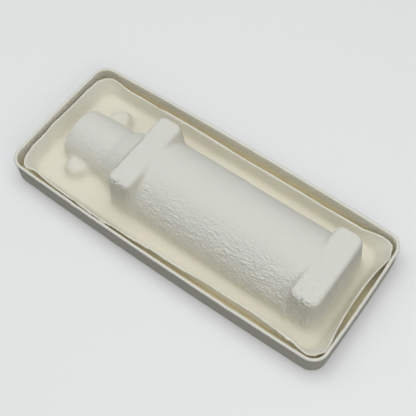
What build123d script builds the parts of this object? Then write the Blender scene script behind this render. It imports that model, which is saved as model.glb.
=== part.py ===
import os
from math import cos, radians, sin, tan

from build123d import *

os.makedirs("parts", exist_ok=True)

# Molded pulp insert for a perfume bottle, lying face down with its back up.
# A straight-walled frame rests on its face. A cradle lies inside it, and the
# cradle's back is the hollow half of a bottle. +X runs from the cap end to the
# base end of the bottle, and +Z is up.

# Frame: a shallow tray with a bottle-shaped window in its face.
frame_length = 201.5
frame_width = 83.9
frame_height = 15.5
frame_wall = 1.2
frame_corner = 8.5
long_side_bow = 1.5
short_side_bow = 0.75
frame_edge_radius = 0.6
window_gap = 0.8

# Cradle: the flat floor and the springy skirt that stands up from it.
cradle_wall = 1.2
cradle_height = 11.2
foot_gap_long = 6.5
foot_gap_short = 6.0
foot_bow = 0.8
foot_corner = 9.0
skirt_radius = 2.6

# Gaps from the frame's inner face to the skirt's lip, at mid-side and at the corners.
lip_gap_near = 0.4
lip_gap_near_corner = 0.5
lip_gap_far = 4.55
lip_gap_far_corner = 3.4
lip_gap_cap_end = 2.0
lip_gap_cap_corner = 2.6
lip_gap_base_end = 4.6
lip_gap_base_corner = 0.5
lip_corner = 7.5

# Bottle shape, measured on the back of the pulp. Its axis lies above the face.
axis_height = 5.2
body_radius = 25.2

# Floor left between the skirt's foot and each end of the bottle, at the axis.
cap_floor_gap = 8.05
base_floor_gap = 7.95

# Cross blocks: each stands a little above the body and stops short of its sides.
shoulder_length = 14.4
shoulder_side_step = 1.4
shoulder_top_step = 0.8
shoulder_draft = 5.0
shoulder_corner = 3.6

base_length = 15.2
base_side_step = 2.4
base_top_step = 0.2
base_draft = 6.0
base_corner = 4.2

# Cap and neck, one after the other from the cap's end.
cap_length = 27.5
cap_start_step = 10.0
cap_end_step = 9.0
cap_end_draft = 8.0
cap_edge_radius = 2.6
neck_length = 20.0
neck_start_step = 9.6
neck_end_step = 2.8
shoulder_offset = 3.8
body_overlap = 4.2
base_overlap = 2.0

# Finger scoops, placed from the cap's end and its side.
scoop_offset = 14.5
scoop_side_gap = 3.6
scoop_radius = 5.6
scoop_top = 9.2
scoop_draft = 20.0
scoop_edge_radius = 3.6

block_edge_radius = 2.4
foot_radius = 1.6
mouth_radius = 0.8

# Slack used when edges and faces are picked by their level.
pick_slack = 0.01

# Levels worked out from the sizes above.
cradle_front = frame_wall
cradle_back = cradle_front + cradle_wall
lip_level = cradle_front + cradle_height
frame_inner_x = frame_length / 2 - frame_wall
frame_inner_y = frame_width / 2 - frame_wall

# Bottle radii, widths and tops, all stepped from the body.
cap_start_radius = body_radius - cap_start_step
cap_end_radius = body_radius - cap_end_step
neck_start_radius = body_radius - neck_start_step
neck_end_radius = body_radius - neck_end_step
shoulder_width = 2 * (body_radius - shoulder_side_step)
base_width = 2 * (body_radius - base_side_step)
shoulder_top = axis_height + body_radius + shoulder_top_step
base_top = axis_height + body_radius + base_top_step

# Places along the bottle, from the skirt's foot at each end.
cap_start = -(frame_inner_x - foot_gap_short) + cap_floor_gap
neck_start = cap_start + cap_length
neck_end = neck_start + neck_length
shoulder_center = neck_end + shoulder_offset
body_start = shoulder_center + body_overlap
base_center = frame_inner_x - foot_gap_short - base_floor_gap - base_length / 2
body_end = base_center - base_overlap
scoop_center_x = cap_start + scoop_offset
scoop_center_y = cap_start_radius + scoop_side_gap


def bowed_outline(level, cap_side, base_side, near_side, far_side, corner):
    """Sketch a rounded outline whose four sides are bowed.

    Each side is a pair of distances from the centre, at mid-side and at its corners.
    """
    near_cap = (-cap_side[1], -near_side[1])
    near_base = (base_side[1], -near_side[1])
    far_base = (base_side[1], far_side[1])
    far_cap = (-cap_side[1], far_side[1])
    with BuildSketch(Plane.XY.offset(level)) as outline:
        with BuildLine():
            ThreePointArc(near_cap, (0, -near_side[0]), near_base)
            ThreePointArc(near_base, (base_side[0], 0), far_base)
            ThreePointArc(far_base, (0, far_side[0]), far_cap)
            ThreePointArc(far_cap, (-cap_side[0], 0), near_cap)
        make_face()
        fillet(outline.vertices(), radius=corner)
    return outline.sketch


def frame_outline(level, inset):
    """Sketch the frame's outline, moved in by inset."""
    end = frame_length / 2 - inset
    side = frame_width / 2 - inset
    ends = (end, end - short_side_bow)
    sides = (side, side - long_side_bow)
    return bowed_outline(level, ends, ends, sides, sides, frame_corner - inset)


def foot_outline(level, inset):
    """Sketch the foot of the cradle's skirt, moved in by inset."""
    end = frame_inner_x - foot_gap_short - inset
    side = frame_inner_y - foot_gap_long - inset
    ends = (end, end - foot_bow)
    sides = (side, side - foot_bow)
    return bowed_outline(level, ends, ends, sides, sides, foot_corner - inset)


def lip_outline(level, inset):
    """Sketch the free lip of the cradle's skirt, moved in by inset."""
    end = frame_inner_x - inset
    side = frame_inner_y - inset
    cap_side = (end - lip_gap_cap_end, end - short_side_bow - lip_gap_cap_corner)
    base_side = (end - lip_gap_base_end, end - short_side_bow - lip_gap_base_corner)
    near_side = (side - lip_gap_near, side - long_side_bow - lip_gap_near_corner)
    far_side = (side - lip_gap_far, side - long_side_bow - lip_gap_far_corner)
    return bowed_outline(level, cap_side, base_side, near_side, far_side, lip_corner - inset)


def half_round(x, radius):
    """Sketch half a round at x, with straight sides down to the cradle's front face."""
    with BuildSketch(Plane.YZ.offset(x)) as section:
        with BuildLine():
            Line((radius, axis_height), (radius, cradle_front))
            Line((radius, cradle_front), (-radius, cradle_front))
            Line((-radius, cradle_front), (-radius, axis_height))
            ThreePointArc((-radius, axis_height), (0, axis_height + radius), (radius, axis_height))
        make_face()
    return section.sketch


def draft_growth(top, draft):
    """Return how far a drafted wall spreads from its top down to the face."""
    return (top - cradle_front) * tan(radians(draft))


def cross_block(center, length, width, top, draft, corner, inset):
    """Make a drafted block across the bottle, with rounded edges."""
    height = top - inset - cradle_front
    spread = draft_growth(top - inset, draft)
    with BuildPart() as block:
        with BuildSketch(Plane.XY.offset(cradle_front)):
            with Locations((center, 0)):
                RectangleRounded(
                    length - 2 * inset + 2 * spread,
                    width - 2 * inset + 2 * spread,
                    corner - inset + spread,
                )
        extrude(amount=height, taper=draft)
        fillet(block.faces().sort_by(Axis.Z)[-1].edges(), radius=block_edge_radius - inset)
    return block.part


def finger_scoop(side, inset):
    """Make a drafted round scoop beside the cap, on the side given as 1 or -1."""
    height = scoop_top - inset - cradle_front
    spread = draft_growth(scoop_top - inset, scoop_draft)
    with BuildPart() as scoop:
        with BuildSketch(Plane.XY.offset(cradle_front)):
            with Locations((scoop_center_x, side * scoop_center_y)):
                Circle(scoop_radius - inset + spread)
        extrude(amount=height, taper=scoop_draft)
        fillet(scoop.faces().sort_by(Axis.Z)[-1].edges(), radius=scoop_edge_radius - inset)
    return scoop.part


def cap_form(inset):
    """Make the cap's half round, with a drafted and rounded end."""
    tilt = radians(cap_end_draft)
    lean = body_radius * tan(tilt)
    end_plane = Plane(
        origin=(cap_start + inset, 0, axis_height), z_dir=(cos(tilt), 0, -sin(tilt))
    )
    with BuildPart() as cap:
        loft([half_round(cap_start - lean, cap_start_radius - inset),
              half_round(neck_start, cap_end_radius - inset)])
        split(bisect_by=end_plane, keep=Keep.TOP)
        end_face = cap.faces().sort_by(Axis.X)[0]
        rim = end_face.edges().filter_by_position(Axis.Z, cradle_front + pick_slack, body_radius)
        fillet(rim, radius=cap_edge_radius - inset)
    return cap.part


def bottle_form(inset):
    """Make the whole half bottle, moved in by inset."""
    with BuildPart() as form:
        extrude(half_round(body_start, body_radius - inset), amount=body_end - body_start)
        loft([half_round(neck_start, neck_start_radius - inset),
              half_round(neck_end, neck_end_radius - inset)])
        add(cap_form(inset))
        add(cross_block(shoulder_center, shoulder_length, shoulder_width, shoulder_top,
                        shoulder_draft, shoulder_corner, inset))
        add(cross_block(base_center, base_length, base_width, base_top,
                        base_draft, base_corner, inset))
        add(finger_scoop(1, inset))
        add(finger_scoop(-1, inset))
    return form.part


def skirt_block(outline_inset, floor_level, radius):
    """Make the drafted block inside the foot and lip outlines, with a rounded foot."""
    with BuildPart() as block:
        loft([foot_outline(cradle_front, outline_inset), lip_outline(lip_level, outline_inset)])
        split(bisect_by=Plane.XY.offset(floor_level), keep=Keep.TOP)
        fillet(block.faces().sort_by(Axis.Z)[0].edges(), radius=radius)
    return block.part


def inner_edges(part, level):
    """Return the edges of the holes and islands in the largest flat face at a level."""
    flats = part.faces().filter_by_position(Axis.Z, level - pick_slack, level + pick_slack)
    largest = flats.sort_by(SortBy.AREA)[-1]
    return [edge for wire in largest.inner_wires() for edge in wire.edges()]


def window_outline():
    """Sketch the window: the bottle's outline at the face, grown by the window's gap."""
    shoulder_growth = draft_growth(shoulder_top, shoulder_draft)
    base_growth = draft_growth(base_top, base_draft)
    scoop_growth = draft_growth(scoop_top, scoop_draft)
    with BuildSketch() as window:
        with Locations(((body_start + body_end) / 2, 0)):
            Rectangle(body_end - body_start, 2 * body_radius)
        with Locations(((cap_start + neck_start) / 2, 0)):
            Rectangle(neck_start - cap_start, 2 * cap_end_radius)
        with Locations((shoulder_center, 0)):
            Rectangle(shoulder_length + 2 * shoulder_growth, shoulder_width + 2 * shoulder_growth)
        with Locations((base_center, 0)):
            Rectangle(base_length + 2 * base_growth, base_width + 2 * base_growth)
        Polygon((neck_start, -neck_start_radius), (neck_end, -neck_end_radius),
                (neck_end, neck_end_radius), (neck_start, neck_start_radius), align=None)
        with Locations((scoop_center_x, scoop_center_y), (scoop_center_x, -scoop_center_y)):
            Circle(scoop_radius + scoop_growth)
        offset(amount=window_gap)
    return window.sketch


with BuildPart() as bottle_cradle:
    add(skirt_block(0, cradle_front, skirt_radius + cradle_wall))
    add(skirt_block(cradle_wall, cradle_back, skirt_radius), mode=Mode.SUBTRACT)
    add(bottle_form(0))
    fillet(inner_edges(bottle_cradle, cradle_back), radius=foot_radius)
    add(bottle_form(cradle_wall), mode=Mode.SUBTRACT)
    fillet(inner_edges(bottle_cradle, cradle_front), radius=mouth_radius)
bottle_cradle.part.label = "bottle_cradle"
export_step(bottle_cradle.part, "parts/bottle_cradle.step")


with BuildPart() as outer_frame:
    extrude(frame_outline(0, 0), amount=frame_height)
    fillet(outer_frame.faces().sort_by(Axis.Z)[0].edges(), radius=frame_edge_radius)
    extrude(frame_outline(frame_wall, frame_wall), amount=frame_height, mode=Mode.SUBTRACT)
    extrude(window_outline(), amount=frame_wall, mode=Mode.SUBTRACT)
outer_frame.part.label = "outer_frame"
export_step(outer_frame.part, "parts/outer_frame.step")
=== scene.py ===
# %% [markdown]
# # Molded pulp insert for a perfume bottle
#
# The object is two thin shells of smooth wet-pressed pulp. A straight-walled frame
# lies on its face, and a cradle stands inside it with its back up, so the hollow
# half of a bottle shows as a bulge. CAD holds the true shells. This script adds
# what pressing and trimming leave on them: soft inside corners, a sprung and wavy
# lip, a nicked rim, wrinkles, a screen print on the wall, and the colour of pulp,
# with painted bounce light and painted shade laid into that colour.

import math

import bmesh
import bpy
import numpy as np
from mathutils import Matrix, Vector


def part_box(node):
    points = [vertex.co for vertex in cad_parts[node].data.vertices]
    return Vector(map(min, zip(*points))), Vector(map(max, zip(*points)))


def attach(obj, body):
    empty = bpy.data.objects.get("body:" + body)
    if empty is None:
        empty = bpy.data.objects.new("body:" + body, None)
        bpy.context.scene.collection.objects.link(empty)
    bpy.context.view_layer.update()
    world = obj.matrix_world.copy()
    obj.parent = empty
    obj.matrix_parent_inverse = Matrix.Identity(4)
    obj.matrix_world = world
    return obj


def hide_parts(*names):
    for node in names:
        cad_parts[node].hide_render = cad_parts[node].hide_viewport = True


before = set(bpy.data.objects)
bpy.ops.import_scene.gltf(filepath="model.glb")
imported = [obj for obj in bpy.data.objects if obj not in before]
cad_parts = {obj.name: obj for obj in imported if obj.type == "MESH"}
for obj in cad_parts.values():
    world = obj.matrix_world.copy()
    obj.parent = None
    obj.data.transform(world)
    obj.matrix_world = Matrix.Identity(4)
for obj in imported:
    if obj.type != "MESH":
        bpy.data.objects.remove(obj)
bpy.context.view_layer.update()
scene = bpy.context.scene
print("nodes", sorted(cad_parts))

# %% [markdown]
# ## Sizes
#
# Blender counts in metres, and MM turns millimetres into them. Ramp ends, nicks
# and shifts of the lip are plain millimetres, and are turned where they are used.
# The levels come from the CAD boxes, so they follow the part. The other sizes were
# judged from the photograph at its own scale, each in the cell that first needs it.

# %% Levels read from the CAD boxes
MM = 0.001
PULP_WALL = 1.2 * MM
LIP_RISE = 11.2 * MM
AXIS_LEVEL = 5.2 * MM
frame_low, frame_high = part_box("outer_frame")
cradle_low, cradle_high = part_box("bottle_cradle")
RIM_LEVEL = frame_high.z
FLOOR_LEVEL = cradle_low.z + PULP_WALL
LIP_LEVEL = cradle_low.z + LIP_RISE
TOP_LEVEL = cradle_high.z
levels = (RIM_LEVEL, FLOOR_LEVEL, LIP_LEVEL, TOP_LEVEL)
print("rim, floor, lip, top in mm", [round(v / MM, 2) for v in levels])

# %% [markdown]
# ## Small helpers
#
# Three kinds of step are used again and again: a smooth ramp between two values, a
# soft hill round one value, and a smooth line through a few places given along a
# side. They are written for whole arrays, because numpy then moves every vertex at
# once, which is far quicker in Blender than a loop over vertices.


# %% Ramps, hills and eased lines
def smooth_ramp(value, start, end):
    """Rises from 0 at start to 1 at end with no corner."""
    t = np.clip((value - start) / (end - start), 0.0, 1.0)
    return t * t * (3.0 - 2.0 * t)


def ramp_over(value, reach):
    """A smooth ramp over a reach given as its two ends in mm."""
    return smooth_ramp(value, reach[0] * MM, reach[1] * MM)


def bump_at(value, center, reach):
    """A soft hill of height 1 that falls to 0 at reach from its centre."""
    return 1.0 - smooth_ramp(np.abs(value - center), 0.0, reach)


def eased_line(value, places, shifts):
    """Passes through each shift at its place, easing between neighbours."""
    result = np.full(value.shape, float(shifts[0]))
    for i in range(len(places) - 1):
        step = smooth_ramp(value, places[i], places[i + 1])
        result += step * (shifts[i + 1] - shifts[i])
    return result


print("ramp at a quarter, a half and its end", smooth_ramp(np.array([0.25, 0.5, 1.0]), 0.0, 1.0))

# %% [markdown]
# ## Reading and writing a mesh
#
# A piece's vertices are taken out as one array of rows, changed, and put back. A
# modifier's result is kept by asking Blender for the evaluated mesh, so no
# modifier is left on a piece.


# %% Arrays and baked modifiers
def bake_modifiers(piece):
    """Replaces a piece's mesh by what its modifiers make, and clears them."""
    bpy.context.view_layer.update()
    graph = bpy.context.evaluated_depsgraph_get()
    made = bpy.data.meshes.new_from_object(piece.evaluated_get(graph))
    old = piece.data
    piece.modifiers.clear()
    piece.data = made
    bpy.data.meshes.remove(old)


def coordinates(piece):
    """Returns a piece's vertices as an array of rows x, y, z."""
    flat = np.empty(len(piece.data.vertices) * 3)
    piece.data.vertices.foreach_get("co", flat)
    return flat.reshape(-1, 3)


def set_coordinates(piece, coords):
    """Writes an array of rows back to a piece's vertices."""
    piece.data.vertices.foreach_set("co", coords.ravel())
    piece.data.update()


def vertex_normals(piece):
    """Returns the vertex normals as rows."""
    flat = np.empty(len(piece.data.vertices) * 3)
    piece.data.vertex_normals.foreach_get("vector", flat)
    return flat.reshape(-1, 3)


cad_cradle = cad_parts["bottle_cradle"]
print("the CAD cradle has", len(coordinates(cad_cradle)), "loose vertices")

# %% [markdown]
# ## Pressed skins
#
# Wet fibre can't follow a sharp inside corner, so every junction on the real part
# is soft. Bevels could round them one by one, but pressing rounds them all at
# once. So a merged copy of the CAD shell is remeshed into an even net of small
# quads, and relaxing that net rounds the junctions as the fibre mat does.

# %% Make an even net from a CAD node
MERGE_DISTANCE = 0.002 * MM
RELAX_FACTOR = 0.5


def relax_where(piece, steps, weights):
    """Smooths the net by a number of steps, as strongly as each vertex's weight says."""
    group = piece.vertex_groups.new(name="soften")
    for level in np.unique(np.round(weights, 1)):
        chosen = np.nonzero(np.round(weights, 1) == level)[0]
        group.add(chosen.tolist(), float(level), "REPLACE")
    relax = piece.modifiers.new("relax", "SMOOTH")
    relax.factor = RELAX_FACTOR
    relax.iterations = steps
    relax.vertex_group = group.name
    bake_modifiers(piece)
    piece.vertex_groups.clear()


def pressed_skin(node_name, piece_name, voxel, relaxing):
    """Copies a CAD node, merges it, remeshes it evenly and relaxes its corners."""
    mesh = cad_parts[node_name].data.copy()
    merged = bmesh.new()
    merged.from_mesh(mesh)
    bmesh.ops.remove_doubles(merged, verts=merged.verts, dist=MERGE_DISTANCE)
    merged.to_mesh(mesh)
    merged.free()
    mesh.materials.clear()
    mesh.name = piece_name
    piece = bpy.data.objects.new(piece_name, mesh)
    scene.collection.objects.link(piece)
    net = piece.modifiers.new("net", "REMESH")
    net.mode = "VOXEL"
    net.voxel_size = voxel
    bake_modifiers(piece)
    for steps, softness in relaxing:
        relax_where(piece, steps, softness(coordinates(piece)))
    print(piece_name, "vertices", len(piece.data.vertices))
    return piece


# %% [markdown]
# ## How soft each place is
#
# The lip and the rim are cut edges, so they are relaxed little. Low on the bottle
# and on the floor beside it, fibre pools while the part drains, and those inside
# corners are the softest. They get a second and longer relaxing.

# %% Cradle and frame skins
CRADLE_VOXEL = 0.8 * MM
FRAME_VOXEL = 0.72 * MM
RELAX_STEPS = 14
FOOT_STEPS = 60
SKIRT_AT_ENDS = (88.5, 91)
LIP_HOLD = 0.85
FRAME_SOFTNESS = 0.25


def cradle_softness(coords):
    """Full relaxing on the bottle and the floor, little on the free lip."""
    sides = ramp_over(np.abs(coords[:, 1]), (29, 32))
    ends = ramp_over(np.abs(coords[:, 0]), SKIRT_AT_ENDS)
    skirt = np.maximum(sides, ends) * ramp_over(coords[:, 2], (4, 8))
    return 1.0 - LIP_HOLD * skirt


def foot_softness(coords):
    """Full relaxing low on the bottle and on the floor beside it, where fibre pools."""
    sides = ramp_over(np.abs(coords[:, 1]), (30, 33))
    ends = ramp_over(np.abs(coords[:, 0]), SKIRT_AT_ENDS)
    return (1.0 - np.maximum(sides, ends)) * (1.0 - ramp_over(coords[:, 2], (5, 10)))


def frame_softness(coords):
    """A light, even relaxing: the frame keeps its square wall."""
    return np.full(len(coords), FRAME_SOFTNESS)


cradle = pressed_skin("bottle_cradle", "cradle_skin", CRADLE_VOXEL,
                      ((RELAX_STEPS, cradle_softness), (FOOT_STEPS, foot_softness)))
shell = pressed_skin("outer_frame", "frame_skin", FRAME_VOXEL, ((RELAX_STEPS, frame_softness),))

# %% [markdown]
# ## The sprung lip
#
# The cradle's skirt is thin and free at its lip, so it springs in and out where it
# isn't held. At the base end it hugs the wall round both corners and swings in
# between them, and along the near side it leaves the wall over half the length.
# A lattice could bend it, but a list of shifts says plainly how far and where. The
# skirt leans from its foot, so the shift grows with height.

# %% Shifts of the lip
# Places along each side, and the lip's shift there towards plus x or plus y, in mm.
BASE_END_PLACES = [-36, -28, -19, -10, 11, 21, 29, 36]
BASE_END_SHIFTS = [0.8, 2.2, 1.9, 1.6, 1.2, 1.4, 2.0, 1.6]
CAP_END_PLACES = [-34, -26, -17, -7, 4, 12, 28, 34]
CAP_END_SHIFTS = [0.3, -0.6, -0.3, -0.9, -0.6, -0.6, -0.7, -0.3]
NEAR_PLACES = [-92, -85, -74, -57, -38, -20, 5, 35, 60, 80, 92]
NEAR_SHIFTS = [0.5, 2.2, 1.1, 0.7, 0.3, 1.6, 2.9, 4.0, 4.0, 2.8, 0.9]
FAR_PLACES = [-95, -88, -76, -60, 40, 76, 90]
FAR_SHIFTS = [0.6, 1.5, 0.2, 0.4, -0.2, 0.2, 2.3]
print("largest shift on the near side, in mm", max(NEAR_SHIFTS))

# %% Bend the skirt
LIP_FOOT = FLOOR_LEVEL + 0.5 * MM
END_SKIRT = (88.5, 92)
NEAR_SKIRT = (31.5, 34)
FAR_SKIRT = (31.5, 33.5)
LIP_WAVE = 0.22 * MM
WAVE_ALONG = 9.5 * MM
WAVE_ACROSS = 7.5 * MM
WAVE_STARTS = (1.3, 0.4)
WAVE_FOOT = 8 * MM


def bend_lip(coords):
    """Shifts the skirt sideways by the amounts given along each side."""
    x, y, z = coords.T
    rise = smooth_ramp(z, LIP_FOOT, LIP_LEVEL)
    base_end = ramp_over(x, END_SKIRT)
    cap_end = ramp_over(-x, END_SKIRT)
    near = ramp_over(-y, NEAR_SKIRT)
    far = ramp_over(y, FAR_SKIRT)
    base_shift = eased_line(y / MM, BASE_END_PLACES, BASE_END_SHIFTS)
    cap_shift = eased_line(y / MM, CAP_END_PLACES, CAP_END_SHIFTS)
    near_shift = eased_line(x / MM, NEAR_PLACES, NEAR_SHIFTS)
    far_shift = eased_line(x / MM, FAR_PLACES, FAR_SHIFTS)
    x += MM * rise * (base_end * base_shift + cap_end * cap_shift)
    y += MM * rise * (near * near_shift + far * far_shift)
    wave = np.sin(x / WAVE_ALONG + WAVE_STARTS[0]) * np.sin(y / WAVE_ACROSS + WAVE_STARTS[1])
    skirt = np.maximum.reduce([base_end, cap_end, near, far])
    z += LIP_WAVE * wave * skirt * smooth_ramp(z, WAVE_FOOT, LIP_LEVEL)
    return np.stack([x, y, z], axis=1)


set_coordinates(cradle, bend_lip(coordinates(cradle)))
print("bent cradle reaches, in mm", [round(v / MM, 2) for v in coordinates(cradle).max(axis=0)])

# %% [markdown]
# ## The trimmed rim
#
# The frame's rim is cut after pressing. The blade pushes out a small burr, and
# skips here and there, which leaves notches. The base end has the deepest ones.
# They could be cut with booleans, but a notch in torn fibre has no sharp side, so
# lowering the rim in soft dips is closer and far cheaper.

# %% Thicken the rim
BURR_OUT = 0.35 * MM
BURR_IN = 0.12 * MM
BURR_FOOT = RIM_LEVEL - 4.5 * MM
BURR_FULL = RIM_LEVEL - 0.8 * MM


def swell_rim(piece):
    """Thickens the rim a little, where trimming pushes out a burr."""
    coords = coordinates(piece)
    normals = vertex_normals(piece)
    outward = (normals[:, 0] * coords[:, 0] / frame_high.x ** 2
               + normals[:, 1] * coords[:, 1] / frame_high.y ** 2)
    top = smooth_ramp(coords[:, 2], BURR_FOOT, BURR_FULL)
    burr = np.where(outward > 0, BURR_OUT, BURR_IN)
    coords[:, :2] += normals[:, :2] * (burr * top)[:, None]
    set_coordinates(piece, coords)


swell_rim(shell)
print("rim thickened by, in mm", round((BURR_OUT + BURR_IN) / MM, 2))

# %% Nick the rim
# Each nick is its place along the side, its half width and its depth, in mm.
BASE_END_NICKS = ((21, 3.0, 0.5), (10, 1.8, 0.9), (-6.7, 1.6, 0.8), (-16.5, 1.5, 1.1), (-25, 2.5, 0.6))
NEAR_SIDE_NICKS = ((-52, 3.0, 0.5), (-40, 1.8, 0.7), (-35, 1.5, 0.6), (-12, 4.0, 0.3),
                   (18, 2.0, 0.2), (47, 3.5, 0.3), (70, 2.0, 0.3))
NICK_FOOT = RIM_LEVEL - 2.5 * MM
BASE_END_WALL = 92 * MM
NEAR_SIDE_WALL = -34 * MM


def nick_rim(coords):
    """Cuts a few small notches into the trimmed rim, as the blade leaves them."""
    x, y, z = coords.T
    top = smooth_ramp(z, NICK_FOOT, RIM_LEVEL)
    for place, width, depth in BASE_END_NICKS:
        z -= MM * depth * top * bump_at(y, place * MM, width * MM) * (x > BASE_END_WALL)
    for place, width, depth in NEAR_SIDE_NICKS:
        z -= MM * depth * top * bump_at(x, place * MM, width * MM) * (y < NEAR_SIDE_WALL)
    return np.stack([x, y, z], axis=1)


set_coordinates(shell, nick_rim(coordinates(shell)))
print("nicks", len(BASE_END_NICKS) + len(NEAR_SIDE_NICKS))

# %% [markdown]
# ## Finer net where the fibre wrinkles
#
# The near flank of the bottle carries many fine wrinkles, finer than the even net
# can hold, and the shoulder block has one thin crease. Only those faces are
# divided once more. A finer remesh of everything would make four times the faces.


# %% Cut faces once where a test holds
def divide_region(piece, inside):
    """Cuts each face once where the test on face centres holds."""
    net = bmesh.new()
    net.from_mesh(piece.data)
    net.faces.ensure_lookup_table()
    chosen = [f for f in net.faces if inside(f.calc_center_median(), f.normal)]
    edges = {edge for face in chosen for edge in face.edges}
    bmesh.ops.subdivide_edges(net, edges=list(edges), cuts=1, use_grid_fill=True)
    many_sided = [f for f in net.faces if len(f.verts) > 4]
    bmesh.ops.triangulate(net, faces=many_sided)
    net.to_mesh(piece.data)
    net.free()
    piece.data.update()
    print(piece.name, "divided", len(chosen), "faces, has", len(piece.data.polygons))


# %% Divide the wrinkled flank and the crease
FLANK_ALONG = (-44, 88)
FLANK_ACROSS = (-30, -3)
FLANK_FOOT = FLOOR_LEVEL + 0.6 * MM
CREASE_ALONG = (-43.5, -38)
CREASE_ACROSS = (-21, 21)
CREASE_FOOT = 24 * MM


def between(value, reach):
    """True where a value lies inside a reach given as its two ends in mm."""
    return reach[0] * MM < value < reach[1] * MM


def on_wrinkled_flank(center, normal):
    """True on the outer side of the body's near half, past the crest."""
    outward = normal.y * center.y + normal.z * (center.z - AXIS_LEVEL) > 0
    inside = between(center.x, FLANK_ALONG) and between(center.y, FLANK_ACROSS)
    return inside and outward and center.z > FLANK_FOOT


def on_shoulder_crease(center, normal):
    """True along the upper edge of the shoulder block, on the cap's side."""
    inside = between(center.x, CREASE_ALONG) and between(center.y, CREASE_ACROSS)
    return inside and center.z > CREASE_FOOT


divide_region(cradle, on_wrinkled_flank)
divide_region(cradle, on_shoulder_crease)

# %% [markdown]
# ## Where each kind of relief and tone belongs
#
# Each kind of relief and each tone keeps to its own places. Weight painting could
# say where, but it would be tied to one net. So a mask is worked out from the
# place and the normal of each vertex, and stored as an attribute, which both the
# node trees and the materials can read.


# %% Mask helpers
def store_mask(piece, name, values):
    """Writes one float for each vertex."""
    layer = piece.data.attributes.new(name, "FLOAT", "POINT")
    layer.data.foreach_set("value", values.astype(np.float32))


def outside_of_bottle(piece):
    """1 on the outer face of the bottle's shell, 0 inside the hollow."""
    x, y, z = coordinates(piece).T
    nx, ny, nz = vertex_normals(piece).T
    return smooth_ramp(ny * y + nz * (z - AXIS_LEVEL), 0.0, 2 * MM)


print("share of vertices outside the hollow", round(float(outside_of_bottle(cradle).mean()), 3))

# %% [markdown]
# ## Wrinkles, drapes and crumples
#
# Round the bottle's near flank the fibre gathers in fine wrinkles, and the cap has
# fainter ones. It hangs in drapes down the near faces of the shoulder block and
# the base block, and crumples at their upper corners. Sculpting could draw all
# this, but ramps state where each kind starts and ends, and are easy to change.

# %% Mask the wrinkles
WRINKLED_SIDE = (4, 16)
WRINKLED_LEVELS = (3.5, 8)
BODY_START = (-28, -22)
BODY_END = (80, 88)
STRONGER_TO_BASE = (0, 45)
CAP_START = (28, 44)
CAP_END = (-90, -84)
CAP_SIDE = (-2, 10)
CAP_LEVELS = (4, 9)
CAP_SHARE = 0.5


def wrinkle_mask(piece):
    """Stores where the body's near flank and the cap are wrinkled."""
    x, y, z = coordinates(piece).T
    flank = ramp_over(-y, WRINKLED_SIDE) * ramp_over(z, WRINKLED_LEVELS)
    body = ramp_over(x, BODY_START) * (1 - ramp_over(x, BODY_END))
    patch = 0.7 + 0.3 * ramp_over(x, STRONGER_TO_BASE)
    cap = ramp_over(-x, CAP_START) * ramp_over(x, CAP_END)
    near_cap = CAP_SHARE * cap * ramp_over(-y, CAP_SIDE) * ramp_over(z, CAP_LEVELS)
    wrinkled = outside_of_bottle(piece) * (body * (0.10 + 0.9 * flank * patch) + near_cap)
    store_mask(piece, "wrinkled", wrinkled)
    print("share of vertices wrinkled", round(float((wrinkled > 0.5).mean()), 3))


wrinkle_mask(cradle)

# %% Mask the drapes and crumples of the two blocks
FACING_NEAR = (0.5, 0.85)
DRAPED_SIDE = (21, 23)
DRAPE_FOOT = (3, 9)
DRAPE_TOP = (23, 28)
SHOULDER_BLOCK = -34.2 * MM
SHOULDER_REACH = 13 * MM
BASE_BLOCK = 78 * MM
BASE_REACH = 12 * MM
CRUMPLED_PLACES = (-33 * MM, 79 * MM)
CRUMPLED_REACH = 9 * MM
CORNER_SIDE = -22.5 * MM
CORNER_LEVEL = TOP_LEVEL - 1.8 * MM
CORNER_REACH = 5.5 * MM


def drape_mask(piece):
    """Stores where the near faces of both blocks hang in drapes."""
    x, y, z = coordinates(piece).T
    ny = vertex_normals(piece)[:, 1]
    face = smooth_ramp(-ny, *FACING_NEAR) * ramp_over(-y, DRAPED_SIDE)
    height = ramp_over(z, DRAPE_FOOT) * (1 - ramp_over(z, DRAPE_TOP))
    blocks = bump_at(x, SHOULDER_BLOCK, SHOULDER_REACH) + bump_at(x, BASE_BLOCK, BASE_REACH)
    store_mask(piece, "draped", face * height * np.minimum(1.0, 1.8 * blocks))


def crumple_mask(piece):
    """Stores where the upper near corners of both blocks are crumpled."""
    x, y, z = coordinates(piece).T
    crumple = np.zeros(len(x))
    for place in CRUMPLED_PLACES:
        edge = bump_at(np.hypot(y - CORNER_SIDE, z - CORNER_LEVEL), 0.0, CORNER_REACH)
        crumple += edge * bump_at(x, place, CRUMPLED_REACH)
    store_mask(piece, "crumpled", crumple * outside_of_bottle(piece))


drape_mask(cradle)
crumple_mask(cradle)
print("masks so far", sorted(a.name for a in cradle.data.attributes if a.data_type == "FLOAT"))

# %% [markdown]
# ## Three single lines
#
# A thin ridge leans beside the base block, a shallow groove runs round the neck,
# and a crease crosses the shoulder block. Each could be a step in the CAD, but
# they are marks of pressing, thinner than the wall, so they belong to the skin.
# Soft light hardly shows the crease, so its shade is painted along it as well.

# %% Mask the ridge, the groove and the crease
RIDGE_PLACE = 72.0 * MM
RIDGE_LEAN = 0.18
RIDGE_TOP = (-27, -22)
RIDGE_SIDE = (17, 21)
NECK_PLACE = -55.0 * MM
NECK_REACH = 3.8 * MM
NECK_LEVELS = (6, 11)
CREASE_PLACE = -40.6 * MM
CREASE_LEVELS = (26, 28)
CREASE_SIDE = (-14, -8)
LINE_REACH = 0.9 * MM
SHADE_PLACE = -41.1 * MM
SHADE_REACH = 0.75 * MM
SHADE_LEVELS = (24, 26)
SHADE_START = (-19, -16)
SHADE_END = (6, 10)


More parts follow.
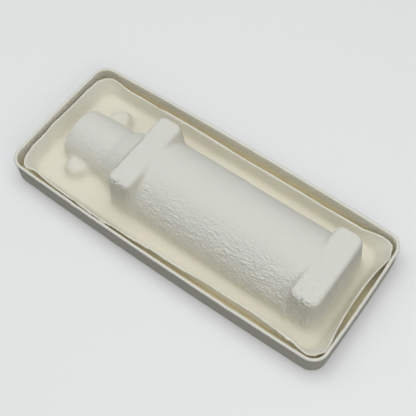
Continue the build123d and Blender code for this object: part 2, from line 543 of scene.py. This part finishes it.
def line_masks(piece):
    """Stores the ridge, the neck's groove, the crease, and the shade along the crease."""
    x, y, z = coordinates(piece).T
    outside = outside_of_bottle(piece)
    ridge_line = RIDGE_PLACE - RIDGE_LEAN * (z - FLOOR_LEVEL)
    ridge = bump_at(x, ridge_line, LINE_REACH) * ramp_over(-z, RIDGE_TOP)
    store_mask(piece, "ridge", ridge * ramp_over(-y, RIDGE_SIDE) * outside)
    groove = bump_at(x, NECK_PLACE, NECK_REACH) * ramp_over(z, NECK_LEVELS)
    store_mask(piece, "neck_groove", groove * outside)
    crease = bump_at(x, CREASE_PLACE, LINE_REACH) * ramp_over(z, CREASE_LEVELS)
    store_mask(piece, "crease", crease * ramp_over(-y, CREASE_SIDE))
    line = bump_at(x, SHADE_PLACE, SHADE_REACH) * ramp_over(z, SHADE_LEVELS)
    line *= ramp_over(y, SHADE_START) * (1 - ramp_over(y, SHADE_END))
    store_mask(piece, "creased", line * outside)
    store_mask(piece, "everywhere", np.ones(len(x)))


line_masks(cradle)
print("cradle attributes", len(cradle.data.attributes))

# %% [markdown]
# ## Where bounce light is painted
#
# Pulp looks creamier low down and in steep places, partly by its own colour and
# partly because light bounces from wall to wall there, so that cream is partly
# painted bounce light. The faces of the gap between the two mouldings get painted
# light, and deep in the gap a warm painted bounce light, the warmest tone. More light
# bounces in the render could bring part of this, slowly, so the tones are masked instead.

# %% Tone masks of the cradle
FOLD_LEVELS = (2, 17)
STEEP_SHARE = 0.75
STEEP_TURN = (0.2, 0.8)
FACING_GAP = (0.3, 0.7)
SKIRT_ENDS = (89, 91)
SKIRT_SIDES = (32, 33)
SKIRT_DEEP = (4, 10.5)


def fold_depth(level, up):
    """How far a place lies in a fold: low places fully, steep ones partly."""
    low = 1 - ramp_over(level, FOLD_LEVELS)
    steep = STEEP_SHARE * (1 - smooth_ramp(np.abs(up), *STEEP_TURN))
    return np.maximum(low, steep)


def cradle_tone_masks(piece):
    """Stores the folds for the cream tint, and the skirt's back where it faces the gap, for painted
    light that is warmest low down.
    """
    x, y, z = coordinates(piece).T
    nx, ny, nz = vertex_normals(piece).T
    # The folds take the cream tint, partly the pulp's own colour and partly painted bounce light.
    store_mask(piece, "fold", fold_depth(z, nz))
    outward = np.maximum(nx * np.sign(x) * ramp_over(np.abs(x), SKIRT_ENDS),
                         ny * np.sign(y) * ramp_over(np.abs(y), SKIRT_SIDES))
    gap = smooth_ramp(outward, *FACING_GAP)
    # The skirt's back where it faces the gap gets painted light.
    store_mask(piece, "painted_light_in_gap", gap)
    # Low on that back, painted warm bounce light.
    store_mask(piece, "deep", gap * (1 - ramp_over(z, SKIRT_DEEP)))


cradle_tone_masks(cradle)
print("cradle attributes", len(cradle.data.attributes))

# %% [markdown]
# ## The frame's own places
#
# The frame has a ragged rim, an inside that faces the gap, which gets painted light,
# and walls that carry the print of the mould's wire screen. The print stops below
# the rim, because a cut edge carries none.

# %% Masks of the frame
NEAR_RIM = (30, 38)
BASE_END_RIM = (90, 97)
RAGGED_FOOT = RIM_LEVEL - 3.5 * MM
RAGGED_FULL = RIM_LEVEL - 0.2 * MM
WALL_ENDS = (92, 96)
WALL_SIDES = (33, 37)
FACING_UP = (0.6, 0.9)
FACE_LEVELS = (3, 5)
WALL_DEEP = (6, 10)
UPRIGHT_TURN = (0.4, 0.9)
PRINT_FULL = RIM_LEVEL - 1.2 * MM
PRINT_TOP = RIM_LEVEL - 0.5 * MM


def frame_masks(piece):
    """Stores the ragged rim, the folds for the cream tint, the inside that faces the gap for painted
    light, and the print.
    """
    x, y, z = coordinates(piece).T
    nx, ny, nz = vertex_normals(piece).T
    near = ramp_over(-y, NEAR_RIM)
    base_end = ramp_over(x, BASE_END_RIM)
    rim = smooth_ramp(z, RAGGED_FOOT, RAGGED_FULL)
    store_mask(piece, "nicked", rim * (0.2 + 0.8 * np.maximum(0.3 * near, base_end)))
    # The folds take the cream tint, partly the pulp's own colour and partly painted bounce light.
    store_mask(piece, "fold", fold_depth(z, nz))
    inward = np.maximum(-nx * np.sign(x) * ramp_over(np.abs(x), WALL_ENDS),
                        -ny * np.sign(y) * ramp_over(np.abs(y), WALL_SIDES))
    face_inside = smooth_ramp(nz, *FACING_UP) * (1 - ramp_over(z, FACE_LEVELS))
    gap = np.maximum(smooth_ramp(inward, *FACING_GAP), face_inside)
    deep = gap * (1 - ramp_over(z, WALL_DEEP))
    # The inside that faces the gap gets painted light.
    store_mask(piece, "painted_light_in_gap", gap)
    # Low down in the gap, painted warm bounce light.
    store_mask(piece, "deep", deep)
    below_rim = 1 - smooth_ramp(z, PRINT_FULL, PRINT_TOP)
    upright = smooth_ramp(1 - np.abs(nz), *UPRIGHT_TURN) * below_rim
    store_mask(piece, "printed", upright * (1 - deep))


frame_masks(shell)
print("frame attributes", len(shell.data.attributes))

# %% [markdown]
# ## Relief by Geometry Nodes
#
# Both shells get their relief from one kind of node tree, which moves the surface
# by masked noise fields. Painting the relief by hand would fix it to one mesh, and
# a bump map would leave the outline smooth. Named inputs hold the sizes, and the
# noise has no random state, so the result is the same each time.


# %% Node helpers
def add_node(tree, kind, inputs=None, **settings):
    """Adds a node, sets its fields, and fills or links its inputs."""
    node = tree.nodes.new(kind)
    for key, value in settings.items():
        setattr(node, key, value)
    for key, value in (inputs or {}).items():
        if isinstance(value, bpy.types.NodeSocket):
            tree.links.new(value, node.inputs[key])
        else:
            node.inputs[key].default_value = value
    return node


def math_socket(tree, operation, first, second):
    """One maths step on two values or sockets."""
    return add_node(tree, "ShaderNodeMath", {0: first, 1: second}, operation=operation).outputs[0]


def mask_socket(tree, name):
    """Reads a stored mask."""
    node = add_node(tree, "GeometryNodeInputNamedAttribute", {"Name": name}, data_type="FLOAT")
    return node.outputs["Attribute"]


def noise_socket(tree, stretch, detail, distortion):
    """Noise around zero on the position, stretched per axis in waves for each metre."""
    place = add_node(tree, "GeometryNodeInputPosition")
    scaled = add_node(tree, "ShaderNodeVectorMath", {0: place.outputs[0], 1: stretch},
                      operation="MULTIPLY")
    noise = add_node(tree, "ShaderNodeTexNoise",
                     {"Vector": scaled.outputs[0], "Scale": 1.0, "Detail": detail,
                      "Roughness": 0.55, "Distortion": distortion}, noise_dimensions="3D")
    return math_socket(tree, "SUBTRACT", noise.outputs[0], 0.5)


# %% The relief tree
def relief_tree(name, layers, along):
    """Builds a tree that moves the surface by a sum of masked noise layers.

    Each layer is (input name, mask name, stretch, detail, distortion), and a layer
    with no stretch has no noise. The surface moves along its normal, or along the
    fixed direction given.
    """
    tree = bpy.data.node_groups.new(name, "GeometryNodeTree")
    tree.interface.new_socket("Geometry", in_out="INPUT", socket_type="NodeSocketGeometry")
    tree.interface.new_socket("Geometry", in_out="OUTPUT", socket_type="NodeSocketGeometry")
    tree.interface.new_socket("Material", in_out="INPUT", socket_type="NodeSocketMaterial")
    for layer in layers:
        tree.interface.new_socket(layer[0], in_out="INPUT", socket_type="NodeSocketFloat")
    source = tree.nodes.new("NodeGroupInput")
    total = 0.0
    for label, mask, stretch, detail, distortion in layers:
        height = 1.0 if stretch is None else noise_socket(tree, stretch, detail, distortion)
        masked = math_socket(tree, "MULTIPLY", height, mask_socket(tree, mask))
        sized = math_socket(tree, "MULTIPLY", masked, source.outputs[label])
        total = math_socket(tree, "ADD", total, sized)
    direction = add_node(tree, "GeometryNodeInputNormal").outputs[0] if along is None else along
    offset = add_node(tree, "ShaderNodeVectorMath", {0: direction, "Scale": total},
                      operation="SCALE")
    moved = add_node(tree, "GeometryNodeSetPosition",
                     {"Geometry": source.outputs["Geometry"], "Offset": offset.outputs[0]})
    smooth = add_node(tree, "GeometryNodeSetShadeSmooth", {0: moved.outputs[0]})
    real = add_node(tree, "GeometryNodeRealizeInstances", {0: smooth.outputs[0]})
    painted = add_node(tree, "GeometryNodeSetMaterial",
                       {"Geometry": real.outputs[0], "Material": source.outputs["Material"]})
    end = tree.nodes.new("NodeGroupOutput")
    tree.links.new(painted.outputs[0], end.inputs[0])
    print(name, "nodes", len(tree.nodes))
    return tree


def run_tree(piece, tree, values):
    """Sets the tree's inputs by identifier, evaluates it and keeps a plain mesh."""
    modifier = piece.modifiers.new("relief", "NODES")
    modifier.node_group = tree
    for item in tree.interface.items_tree:
        if item.in_out == "INPUT" and item.name in values:
            modifier[item.identifier] = values[item.name]
    bake_modifiers(piece)


# %% [markdown]
# ## Pulp
#
# Bleached pulp is a matte fibre mat, nearly white where light falls on it and
# creamy where light bounces inside a fold. Light alone doesn't give enough of that
# warmth, so painted bounce light and painted shade are laid as tones, each over the
# one below it by its mask. A fine noise bump stands for the fibres, which are thinner
# than any mesh could hold. On the frame's walls the mould's wire screen has printed
# small dots at an even pitch. An image could carry them, but two crossed sine waves
# on the piece's own coordinates make them anywhere, sharp and with no seam. Their
# relief barely shows under soft light, so the colour is darkened at the dots too, as
# painted shade.

# %% Tones of pulp, painted light and painted shade
OFF_WHITE = (0.775, 0.775, 0.71, 1.0)
# Partly the pulp's own cream, partly painted bounce light in the folds.
CREAM_AND_PAINTED_BOUNCE = (0.80, 0.775, 0.66, 1.0)
# Painted light on the faces of the gap, paler than the render's light leaves them.
GAP_PAINTED_LIGHT = (0.97, 0.95, 0.84, 1.0)
# Painted warm bounce light deep in the gap.
GAP_PAINTED_WARM_BOUNCE = (0.97, 0.90, 0.70, 1.0)
CREASE_SHADE = (0.60, 0.59, 0.52, 1.0)

# Each tone is laid over the one before it, where its mask says.
TONES = (("fold", CREAM_AND_PAINTED_BOUNCE), ("painted_light_in_gap", GAP_PAINTED_LIGHT), ("deep", GAP_PAINTED_WARM_BOUNCE), ("creased", CREASE_SHADE))
print("tones over off-white", [mask for mask, tone in TONES])


# %% Tone and print helpers
def lay_tone(tree, below, mask_name, tone):
    """Mixes one tone over a colour, or over a socket, by a stored mask."""
    mask = add_node(tree, "ShaderNodeAttribute", attribute_name=mask_name)
    mix = add_node(tree, "ShaderNodeMix", {"Factor": mask.outputs["Fac"]}, data_type="RGBA")
    if isinstance(below, bpy.types.NodeSocket):
        tree.links.new(below, mix.inputs["A"])
    else:
        mix.inputs["A"].default_value = below
    mix.inputs["B"].default_value = tone
    return mix.outputs["Result"]


def screen_print(tree, place, pitch):
    """A grid of small dots, as the mould's wire screen leaves on a wall."""
    parts = add_node(tree, "ShaderNodeSeparateXYZ", {0: place})
    total = math_socket(tree, "ADD", parts.outputs["X"], parts.outputs["Y"])
    along = math_socket(tree, "MULTIPLY", total, 2 * math.pi / pitch)
    up = math_socket(tree, "MULTIPLY", parts.outputs["Z"], 2 * math.pi / pitch)
    weave = math_socket(tree, "MULTIPLY",
                        add_node(tree, "ShaderNodeMath", {0: along}, operation="SINE").outputs[0],
                        add_node(tree, "ShaderNodeMath", {0: up}, operation="SINE").outputs[0])
    printed = add_node(tree, "ShaderNodeAttribute", attribute_name="printed")
    return math_socket(tree, "MULTIPLY", weave, printed.outputs["Fac"])


# %% Pulp material
PULP_ROUGHNESS = 0.92
PULP_SHEEN = 0.15
LIGHT_WITHIN = 0.2
LIGHT_DEPTH = 1.2 * MM
LIGHT_COLOUR = (1.0, 0.85, 0.6)
FIBRE_SCALE = 700.0
FIBRE_RELIEF = 0.22 * MM
SCREEN_PITCH = 1.6 * MM
SCREEN_RELIEF = 1.2
SCREEN_SHADE = (0.84, 0.84, 0.84, 1.0)


def pulp_material(name, screened):
    """A matte shader with the tones of pulp, painted bounce light and painted shade, fibre bump and,
    if asked, a screen print.
    """
    material = bpy.data.materials.new(name)
    material.use_nodes = True
    tree = material.node_tree
    shader = tree.nodes["Principled BSDF"]
    shader.inputs["Roughness"].default_value = PULP_ROUGHNESS
    shader.inputs["Specular IOR Level"].default_value = PULP_SHEEN
    shader.inputs["Subsurface Weight"].default_value = LIGHT_WITHIN
    shader.inputs["Subsurface Radius"].default_value = LIGHT_COLOUR
    shader.inputs["Subsurface Scale"].default_value = LIGHT_DEPTH
    place = add_node(tree, "ShaderNodeTexCoord").outputs["Object"]
    colour = OFF_WHITE
    for mask_name, tone in TONES:
        colour = lay_tone(tree, colour, mask_name, tone)
    height = add_node(tree, "ShaderNodeTexNoise", {"Vector": place, "Scale": FIBRE_SCALE,
                      "Detail": 3.0, "Roughness": 0.6}).outputs[0]
    if screened:
        dots = screen_print(tree, place, SCREEN_PITCH)
        height = math_socket(tree, "ADD", height, math_socket(tree, "MULTIPLY", dots, SCREEN_RELIEF))
        # Painted shade: the colour is darkened at the screen's dots, whose relief barely shows under
        # soft light.
        shade = add_node(tree, "ShaderNodeMix", {"Factor": dots}, data_type="RGBA",
                         blend_type="MULTIPLY")
        tree.links.new(colour, shade.inputs["A"])
        shade.inputs["B"].default_value = SCREEN_SHADE
        colour = shade.outputs["Result"]
    tree.links.new(colour, shader.inputs["Base Color"])
    bump = add_node(tree, "ShaderNodeBump",
                    {"Height": height, "Strength": 1.0, "Distance": FIBRE_RELIEF})
    tree.links.new(bump.outputs[0], shader.inputs["Normal"])
    print(name, "nodes", len(tree.nodes))
    return material


cradle_pulp = pulp_material("pulp_cradle", False)
frame_pulp = pulp_material("pulp_frame", True)

# %% [markdown]
# ## Raise the relief
#
# The wrinkles run along the bottle, so their noise is stretched that way. The
# drapes hang down the blocks' near faces, so theirs is stretched upwards. The
# rim's noise moves straight up and down, because a cut edge is ragged in height.

# %% Raise the relief of the cradle
CRADLE_LAYERS = [
    ("Wrinkles", "wrinkled", (330.0, 660.0, 660.0), 3.0, 1.7),
    ("Crumples", "crumpled", (300.0, 560.0, 560.0), 2.5, 1.6),
    ("Drapes", "draped", (420.0, 200.0, 45.0), 1.5, 0.6),
    ("Waves", "everywhere", (55.0, 70.0, 70.0), 1.0, 0.4),
    ("Ridge", "ridge", None, 0, 0),
    ("Crease", "crease", None, 0, 0),
    ("Groove", "neck_groove", None, 0, 0),
]
CRADLE_RELIEF = {"Material": cradle_pulp, "Wrinkles": 2.2 * MM, "Crumples": 3.9 * MM,
                 "Drapes": 2.2 * MM, "Waves": 0.9 * MM, "Ridge": 0.8 * MM,
                 "Crease": -0.9 * MM, "Groove": -0.4 * MM}
run_tree(cradle, relief_tree("cradle_relief", CRADLE_LAYERS, None), CRADLE_RELIEF)
print(cradle.name, "faces", len(cradle.data.polygons))

# %% Raise the relief of the frame's rim
FRAME_LAYERS = [("Nicks", "nicked", (150.0, 150.0, 0.0), 2.0, 0.3)]
UPWARDS = (0.0, 0.0, 1.0)
run_tree(shell, relief_tree("frame_relief", FRAME_LAYERS, UPWARDS),
         {"Material": frame_pulp, "Nicks": 1.7 * MM})
print(shell.name, "faces", len(shell.data.polygons))

# %% [markdown]
# ## A lighter net
#
# The relief needed a fine net everywhere the fibre moves. Once it is raised, the
# smooth places no longer need theirs, so both nets are thinned. Edges collapse
# first where the surface is flat, and the wrinkles stay.

# %% Thin both nets
CRADLE_TRIANGLES = 180000
FRAME_TRIANGLES = 120000


def thin_net(piece, most_triangles):
    """Collapses edges until the piece has no more than this many triangles."""
    piece.data.calc_loop_triangles()
    before = len(piece.data.loop_triangles)
    thin = piece.modifiers.new("thin", "DECIMATE")
    thin.ratio = min(1.0, most_triangles / before)
    bake_modifiers(piece)
    piece.data.calc_loop_triangles()
    print(piece.name, "triangles", before, "->", len(piece.data.loop_triangles))


thin_net(cradle, CRADLE_TRIANGLES)
thin_net(shell, FRAME_TRIANGLES)

# %% [markdown]
# ## Give the pieces to the frame
#
# Nothing on the insert moves, so both skins ride the one body. Each replaces its
# own CAD node, which stays as it is for the weight and the collision.

# %% Ride and replace
for piece, node_name, slot_name in ((cradle, "bottle_cradle", "pulp_cradle"),
                                    (shell, "outer_frame", "pulp_frame")):
    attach(piece, "root")
    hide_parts(node_name)
    print(piece.name, "replaces", node_name)

# %% [markdown]
# ## Floor and sky
#
# The part lies on a pale floor. A plain pale material would throw so much light
# back that the outer wall would lose its shade. So the floor has two colours: a
# pale one that the camera sees, and a darker one for the light that it bounces.
# An even sky fills the rest.


# %% Floor and sky
FLOOR_HALF = 3.0
FLOOR_SEEN = (0.95, 0.96, 0.96, 1)
FLOOR_BOUNCED = (0.22, 0.23, 0.23, 1)
SKY_COLOUR = (0.97, 0.99, 1.0, 1.0)
SKY_STRENGTH = 0.27


def camera_only_material(name, seen, bounced):
    """A matte floor with one colour for the camera and a darker one for bounces."""
    material = bpy.data.materials.new(name)
    material.use_nodes = True
    tree = material.node_tree
    shader = tree.nodes["Principled BSDF"]
    shader.inputs["Roughness"].default_value = 1.0
    shader.inputs["Specular IOR Level"].default_value = 0.0
    path = add_node(tree, "ShaderNodeLightPath")
    colour = add_node(tree, "ShaderNodeMix", {"Factor": path.outputs["Is Camera Ray"]},
                      data_type="RGBA")
    colour.inputs["A"].default_value = bounced
    colour.inputs["B"].default_value = seen
    tree.links.new(colour.outputs["Result"], shader.inputs["Base Color"])
    return material


floor_mesh = bpy.data.meshes.new("floor")
floor_mesh.from_pydata([(-FLOOR_HALF, -FLOOR_HALF, 0), (FLOOR_HALF, -FLOOR_HALF, 0),
                        (FLOOR_HALF, FLOOR_HALF, 0), (-FLOOR_HALF, FLOOR_HALF, 0)], [], [(0, 1, 2, 3)])
floor_mesh.materials.append(camera_only_material("floor_card", FLOOR_SEEN, FLOOR_BOUNCED))
floor = bpy.data.objects.new("floor", floor_mesh)
scene.collection.objects.link(floor)

sky = scene.world or bpy.data.worlds.new("sky")
scene.world = sky
sky.use_nodes = True
sky.node_tree.nodes["Background"].inputs[0].default_value = SKY_COLOUR
sky.node_tree.nodes["Background"].inputs[1].default_value = SKY_STRENGTH
print("floor half width", FLOOR_HALF, "sky", SKY_STRENGTH)

# %% [markdown]
# ## Lamps
#
# Soft light from large lamps shows shallow relief without hard shadows. A broad
# one overhead does most, one high past the cap end models the bottle, and a weak
# one past the base end lightens the shade on the base block.

# %% Lamps
LAMP_TARGET = (0, 0, 0.01)

# Each lamp is its name, place, size and power in watts.
LAMPS = (("window", (-0.45, -0.08, 0.90), 0.80, 1.95),
         ("ceiling", (0.05, 0.12, 1.04), 1.0, 4.45),
         ("fill", (0.45, -0.25, 0.45), 0.40, 0.7))


def soft_lamp(name, place, size, power):
    """A square lamp that faces the part."""
    light = bpy.data.lights.new(name, "AREA")
    light.energy = power
    light.size = size
    lamp = bpy.data.objects.new(name, light)
    lamp.location = place
    facing = Vector(LAMP_TARGET) - Vector(place)
    lamp.rotation_euler = facing.to_track_quat("-Z", "Y").to_euler()
    scene.collection.objects.link(lamp)


for lamp_values in LAMPS:
    soft_lamp(*lamp_values)
    print("lamp", lamp_values[0], "power", lamp_values[3])

# %% [markdown]
# ## Camera
#
# The photograph was matched by its rim corners and by the bottle's outline. The
# three rows are the picture's right, up and back directions in the part's frame.

# %% Photograph's camera
PICTURE_SIZE = 416
FOCAL_PIXELS = 787.6
SENSOR = 36.0
EYE_PLACE = (0.13734, -0.15413, 0.37444)
PICTURE_RIGHT = (0.80325, 0.59438, -0.03876)
PICTURE_UP = (-0.50482, 0.71386, 0.48534)
PICTURE_BACK = (0.31615, -0.37028, 0.87347)
camera = bpy.data.cameras.new("camera")
camera.sensor_width = SENSOR
camera.lens = FOCAL_PIXELS * SENSOR / PICTURE_SIZE
camera.clip_start = 0.01
eye = bpy.data.objects.new("camera", camera)
scene.collection.objects.link(eye)
pose = Matrix((PICTURE_RIGHT, PICTURE_UP, PICTURE_BACK)).transposed().to_4x4()
pose.translation = Vector(EYE_PLACE)
eye.matrix_world = pose
scene.camera = eye
scene.view_settings.view_transform = "Standard"
print("lens", round(camera.lens, 2))
